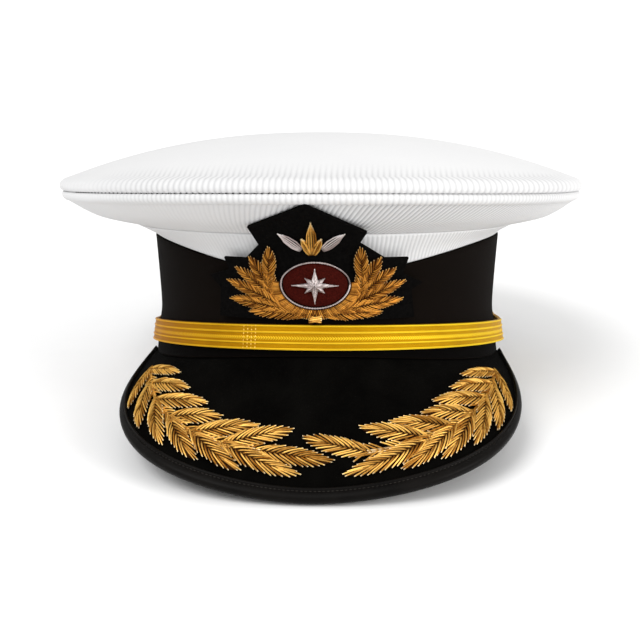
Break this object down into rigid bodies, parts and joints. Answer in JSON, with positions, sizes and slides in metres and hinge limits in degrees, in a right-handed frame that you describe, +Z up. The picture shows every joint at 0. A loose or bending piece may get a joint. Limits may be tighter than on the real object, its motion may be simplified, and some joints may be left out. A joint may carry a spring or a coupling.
{
  "type": "peaked cap",
  "caption": "White-topped peaked cap with a black braid band, gold chin strap, embroidered badge and a velvet peak with raised leaf sprays.",
  "frame": {"origin": "middle of the bounding box's bottom, on the surface that the cap lies on", "axes": "+Z up, -Y towards the front edge of the peak, +X to the right of someone looking at the cap from its front"},
  "size_m": [0.2492, 0.2848, 0.1271],
  "materials": {
    "white_cloth": "ribbed white cloth",
    "black_braid": "woven black braid",
    "velvet": "black velvet",
    "leather": "black semi-gloss leather",
    "gold_braid": "metallic gold braid",
    "bullion": "gold bullion wire",
    "gilt": "polished gilt",
    "silver": "silver wire and thread",
    "maroon": "maroon padded cloth",
    "black_cloth": "black felted cloth"
  },
  "bodies": {
    "root": {"crown_top": "white_cloth", "crown_flare": "white_cloth", "crown_strip": "white_cloth", "band": "black_braid", "peak": "velvet", "peak_binding": "leather", "peak_spray_left": "bullion", "peak_spray_right": "bullion", "chin_strap": "gold_braid", "strap_button_left": "gilt", "strap_button_right": "gilt", "badge_patch": "black_cloth", "badge_field": "maroon", "badge_cord": "silver", "badge_star": "silver", "badge_wreath_left": "bullion", "badge_wreath_right": "bullion", "badge_rays_gold": "bullion", "badge_ray_left": "silver", "badge_ray_right": "silver", "badge_knot": "bullion"}
  },
  "joints": []
}
